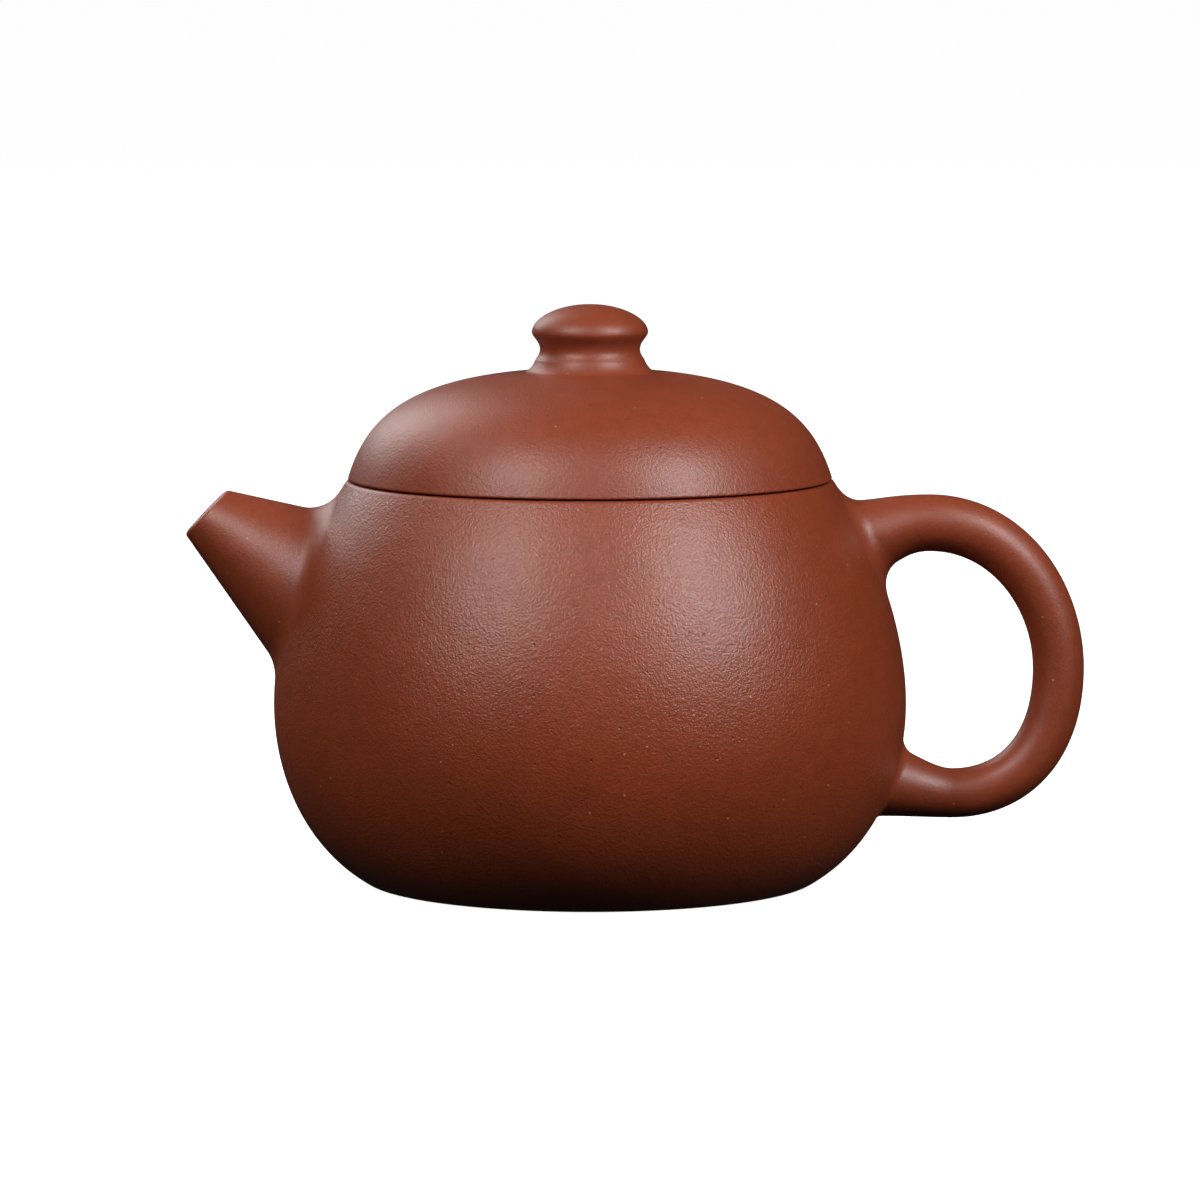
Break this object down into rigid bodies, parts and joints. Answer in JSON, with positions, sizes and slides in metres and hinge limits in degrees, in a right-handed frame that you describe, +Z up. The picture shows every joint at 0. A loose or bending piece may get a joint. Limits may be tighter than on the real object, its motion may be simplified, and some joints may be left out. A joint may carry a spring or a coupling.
{
  "type": "clay teapot",
  "caption": "Round-bodied unglazed clay teapot with a short conical spout, an ear handle and a lift-off domed lid with a button knob.",
  "frame": {"origin": "on the pot's turning axis, in the plane the foot rests on", "axes": "+Z up along the turning axis, spout towards -X, handle towards +X, XZ is the plane of symmetry"},
  "size_m": [0.1278, 0.09, 0.0821],
  "materials": {
    "clay": "unglazed stoneware, matte to satin, fine sandy grain"
  },
  "bodies": {
    "pot": {"body_wall": "clay", "base_slab": "clay", "foot_ring": "clay", "mouth_ring": "clay", "spout": "clay", "ball_strainer": "clay", "handle": "clay"},
    "lid_flange": {"lid_flange": "clay"},
    "lid": {"lid_dome": "clay", "lid_seat_ring": "clay", "knob": "clay"}
  },
  "joints": [
    {"name": "lid_lift", "type": "slide", "parent": "pot", "child": "lid_flange", "axis": [0, 0, 1], "range_m": [0, 0.04]},
    {"name": "lid_turn", "type": "hinge", "parent": "lid_flange", "child": "lid", "pos_m": [0, 0, 0.05725], "axis": [0, 0, 1], "continuous": true}
  ]
}
